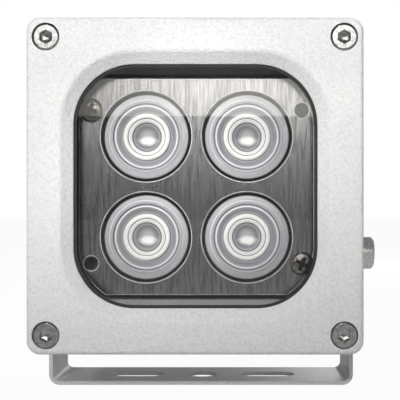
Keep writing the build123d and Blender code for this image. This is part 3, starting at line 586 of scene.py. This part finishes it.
def panDepth(radius):
    # depth of the domed head at this radius, with the cross cut into it
    def atAngle(angle):
        rimShare = max(0.0, (radius - panScrew["head"] + panScrew["rim"]) / panScrew["rim"])
        dome = panScrew["dome"] * (radius / panScrew["head"]) ** 2 + panScrew["rimDrop"] * rimShare ** 3
        x = abs(radius * math.cos(angle + panScrew["crossTurn"]))
        z = abs(radius * math.sin(angle + panScrew["crossTurn"]))
        along, across = max(x, z), min(x, z)
        wide = panScrew["armWidth"] + panScrew["flare"] * max(0.0, panScrew["flareReach"] - along)
        wall = min(1.0, max(0.0, (wide - across) / panScrew["wall"]))
        end = min(1.0, max(0.0, (panScrew["arm"] - along) / panScrew["armEnd"]))
        return (dome + panScrew["recess"] * wall * end) * mm
    return atAngle


panRings = [
    (0.0, panScrew["length"] * mm), (panScrew["shank"] * mm, panScrew["length"] * mm),
    (panScrew["shank"] * mm, panScrew["headHeight"] * mm), (panScrew["head"] * mm, panScrew["headHeight"] * mm),
]
for step in range(panScrew["rings"]):
    radius = panScrew["head"] * (1 - step / panScrew["rings"])
    panRings.append((radius * mm, panDepth(radius)))
panRings.append((0.0, panScrew["recess"] * mm))
panRight, panBack, panUp = [size * mm for size in panScrew["place"]]
for corner, (sideX, sideZ) in {"upper_left": (-1, 1), "lower_right": (1, -1)}.items():
    centre = (sideX * panRight, frontY + panBack, headZ + sideZ * panUp)
    screw = placeRings(f"panScrew_{corner}", panRings, panScrew["segments"], centre, 0.0, [nickel, darkNickel])
    for face in screw.data.polygons:
        radius, depth = math.hypot(face.center.x, face.center.z), face.center.y
        if radius < panScrew["darkReach"] * mm and depth > panScrew["darkFrom"] * mm:
            face.material_index = 1
    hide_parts(f"plate_screw_{corner}")
    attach(screw, "head")

# M8 socket bolts that carry the head in the bracket's legs, sizes in mm.
print("side bolts")
sideBolt = {
    "shank": 3.95, "length": 24.0, "head": 6.5, "headHeight": 8.0, "chamfer": (0.8, 0.9), "face": (5.2, 5.0),
    "key": 6.0, "keyWalls": [(0.3, 0.0), (0.0, 0.15), (0.0, 3.8)], "keyEnd": 4.0, "ease": 0.2, "segments": 64,
}
boltRings = capScrewRings(sideBolt)
for side, turn in {"right": 1, "left": -1}.items():
    low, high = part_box(f"side_bolt_{side}")
    outer = high[0] if turn > 0 else low[0]
    centre = (outer, (low[1] + high[1]) / 2, (low[2] + high[2]) / 2)
    bolt = placeRings(f"sideBolt_{side}", boltRings, sideBolt["segments"], centre, turn * math.pi / 2, [boltSteel])
    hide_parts(f"side_bolt_{side}")
    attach(bolt, "head")

print("studio, in metres")
scene = bpy.context.scene


def addSheet(name, points, material):
    # one flat four-cornered piece of the studio
    mesh = bpy.data.meshes.new(name)
    mesh.from_pydata(points, [], [(0, 1, 2, 3)])
    mesh.materials.append(material)
    sheet = bpy.data.objects.new(name, mesh)
    scene.collection.objects.link(sheet)
    return sheet


# White floor: the camera sees it white, the metal sees a fifth of that, and its paint keeps the object's shadow.
# Its paint grows dim towards the camera: painted shade in front of the object, so less light bounces up onto the
# object's lower side.
floorLook = {
    "half": 6, "dimOffset": 0.6, "tones": [(0.1, 0.12), (0.45, 0.8)],
    "glow": 1.05, "cameraShare": 0.9, "glossyShare": 0.21,
}
floorMaterial, tree = newMaterial("whiteFloor")
place = addNode(tree, "ShaderNodeTexCoord").outputs["Object"]
forward = addNode(tree, "ShaderNodeSeparateXYZ", None, {0: place}).outputs["Y"]
reach = addNode(tree, "ShaderNodeMath", {1: 1.0, 2: floorLook["dimOffset"]}, {0: forward}, operation="MULTIPLY_ADD")
tone = addNode(tree, "ShaderNodeValToRGB", None, {"Fac": reach.outputs[0]}, floorLook["tones"])
paint = addNode(tree, "ShaderNodeBsdfDiffuse", None, {"Color": tone.outputs["Color"]})
glow = addNode(tree, "ShaderNodeEmission", {"Color": (1.0, 1.0, 1.0, 1.0), "Strength": floorLook["glow"]})
rays = addNode(tree, "ShaderNodeLightPath").outputs
mirrored = addNode(
    tree, "ShaderNodeMath", {1: floorLook["glossyShare"]}, {0: rays["Is Glossy Ray"]}, operation="MULTIPLY",
)
share = addNode(
    tree, "ShaderNodeMath", {1: floorLook["cameraShare"]},
    {0: rays["Is Camera Ray"], 2: mirrored.outputs[0]}, operation="MULTIPLY_ADD",
)
mixed = addNode(tree, "ShaderNodeMixShader", None, {0: share.outputs[0], 1: paint.outputs[0], 2: glow.outputs[0]})
addNode(tree, "ShaderNodeOutputMaterial", None, {"Surface": mixed.outputs[0]})
half = floorLook["half"]
floor = addSheet(
    "studioFloor", [(-half, -half, 0), (half, -half, 0), (half, half, 0), (-half, half, 0)], floorMaterial,
)

# Air: white where the camera looks past the object, softly lit all round, and dim in a patch behind the camera.
airLook = {"dimTowards": (0.0, -1.0, 0.06), "tones": [(0.0, 0.2), (0.80, 0.18), (0.97, 0.12), (1.0, 0.1)]}
world = bpy.data.worlds.new("studioAir")
scene.world = world
world.use_nodes = True
tree = world.node_tree
tree.nodes.clear()
heading = addNode(tree, "ShaderNodeTexCoord").outputs["Generated"]
away = addNode(tree, "ShaderNodeVectorMath", {1: airLook["dimTowards"]}, {0: heading}, operation="DOT_PRODUCT")
gloom = addNode(tree, "ShaderNodeValToRGB", None, {"Fac": away.outputs["Value"]}, airLook["tones"])
air = addNode(tree, "ShaderNodeBackground", {"Strength": 1.0}, {"Color": gloom.outputs["Color"]})
white = addNode(tree, "ShaderNodeBackground", {"Color": (1.0, 1.0, 1.0, 1.0), "Strength": 1.0})
rays = addNode(tree, "ShaderNodeLightPath").outputs
mixed = addNode(
    tree, "ShaderNodeMixShader", None, {0: rays["Is Camera Ray"], 1: air.outputs[0], 2: white.outputs[0]},
)
addNode(tree, "ShaderNodeOutputWorld", None, {"Surface": mixed.outputs[0]})


def aimFrom(piece, place, target):
    # stands the piece at its place and turns its -Z to the target
    piece.location = place
    aim = [there - here for here, there in zip(place, target)]
    yaw = math.atan2(aim[1], aim[0])
    pitch = math.atan2(aim[2], math.hypot(aim[0], aim[1]))
    piece.rotation_euler = (math.pi / 2 + pitch, 0.0, yaw - math.pi / 2)


def addSoftBox(name, place, target, power, width, height):
    lamp = bpy.data.lights.new(name, "AREA")
    lamp.shape = "RECTANGLE"
    lamp.size = width
    lamp.size_y = height
    lamp.energy = power
    piece = bpy.data.objects.new(name, lamp)
    scene.collection.objects.link(piece)
    aimFrom(piece, place, target)


def addSpot(name, place, target, power, cone, blend, size):
    # a spotlight that lights the paint and the lenses but leaves no image in the metal
    lamp = bpy.data.lights.new(name, "SPOT")
    lamp.energy = power
    lamp.spot_size = math.radians(cone)
    lamp.spot_blend = blend
    lamp.shadow_soft_size = size
    piece = bpy.data.objects.new(name, lamp)
    scene.collection.objects.link(piece)
    piece.visible_glossy = False
    aimFrom(piece, place, target)


# The key aims above the object, so its light falls off towards the bracket. The second spot lights the lenses.
addSpot("keySpot", (-0.28, -1.06, 0.42), (-0.05, -0.06, 0.26), power=36.8, cone=26.5, blend=0.24, size=0.05)
addSpot("lensSpot", (-0.1, -1.06, 0.25), (0.0, -0.052, 0.073), power=49.0, cone=4.9, blend=1.0, size=0.02)
addSoftBox("glowBox", (-0.02, -1.06, 0.36), (0.0, -0.05, 0.09), power=0.15, width=0.17, height=0.17)
addSoftBox("screwBox", (-0.05, -1.06, 0.36), (0.0, -0.05, 0.12), power=0.62, width=0.6, height=0.13)
addSoftBox("topBox", (-0.1, -0.4, 0.75), (0.0, -0.03, 0.07), power=0.36, width=0.07, height=0.07)
addSoftBox("sideFill", (0.6, -0.35, 0.2), (0.0, -0.05, 0.07), power=0.17, width=0.3, height=0.3)
addSoftBox("backFill", (0.3, 0.75, 0.38), (0.0, 0.03, 0.03), power=1.3, width=0.5, height=0.5)

# Strip light in front and above: its image lies in the glass and on the top of the brushed plate.
stripLook = {
    "y": -1.06, "low": 0.2025, "high": 0.257, "half": 0.5, "strength": 3.8,
    "tones": [  # from its left end to its right end
        (0.28, "#ADABA5"), (0.34, "#BAB8B1"), (0.44, "#FBF9F0"), (0.5, "#FFFDF4"), (0.57, "#F4F2E9"), (0.72, "#E8E6DE"),
    ],
}
stripMaterial, tree = newMaterial("stripGlow")
place = addNode(tree, "ShaderNodeTexCoord").outputs["Object"]
along = addNode(tree, "ShaderNodeSeparateXYZ", None, {0: place}).outputs["X"]
reach = addNode(tree, "ShaderNodeMath", {1: 1.0, 2: stripLook["half"]}, {0: along}, operation="MULTIPLY_ADD")
tone = addNode(tree, "ShaderNodeValToRGB", None, {"Fac": reach.outputs[0]}, stripLook["tones"])
glow = addNode(tree, "ShaderNodeEmission", {"Strength": stripLook["strength"]}, {"Color": tone.outputs["Color"]})
addNode(tree, "ShaderNodeOutputMaterial", None, {"Surface": glow.outputs[0]})
left, right = -stripLook["half"], stripLook["half"]
stripLight = addSheet(
    "stripLight",
    [
        (left, stripLook["y"], stripLook["low"]), (right, stripLook["y"], stripLook["low"]),
        (right, stripLook["y"], stripLook["high"]), (left, stripLook["y"], stripLook["high"]),
    ],
    stripMaterial,
)
stripLight.visible_camera = False

# The photograph's view: level, a little right of the middle, with the frame shifted back onto the object.
print("camera")
cameraLook = {"place": (0.0139, -0.3525, 0.0662), "lens": 80.3, "sensor": 36.0, "shift": (-0.0943, 0.025), "near": 0.01}
camera = bpy.data.cameras.new("frontCamera")
camera.sensor_width = cameraLook["sensor"]
camera.lens = cameraLook["lens"]
camera.shift_x, camera.shift_y = cameraLook["shift"]
camera.clip_start = cameraLook["near"]
eye = bpy.data.objects.new("frontCamera", camera)
scene.collection.objects.link(eye)
eye.location = cameraLook["place"]
eye.rotation_euler = (math.pi / 2, 0.0, 0.0)
scene.camera = eye
scene.view_settings.view_transform = "Standard"
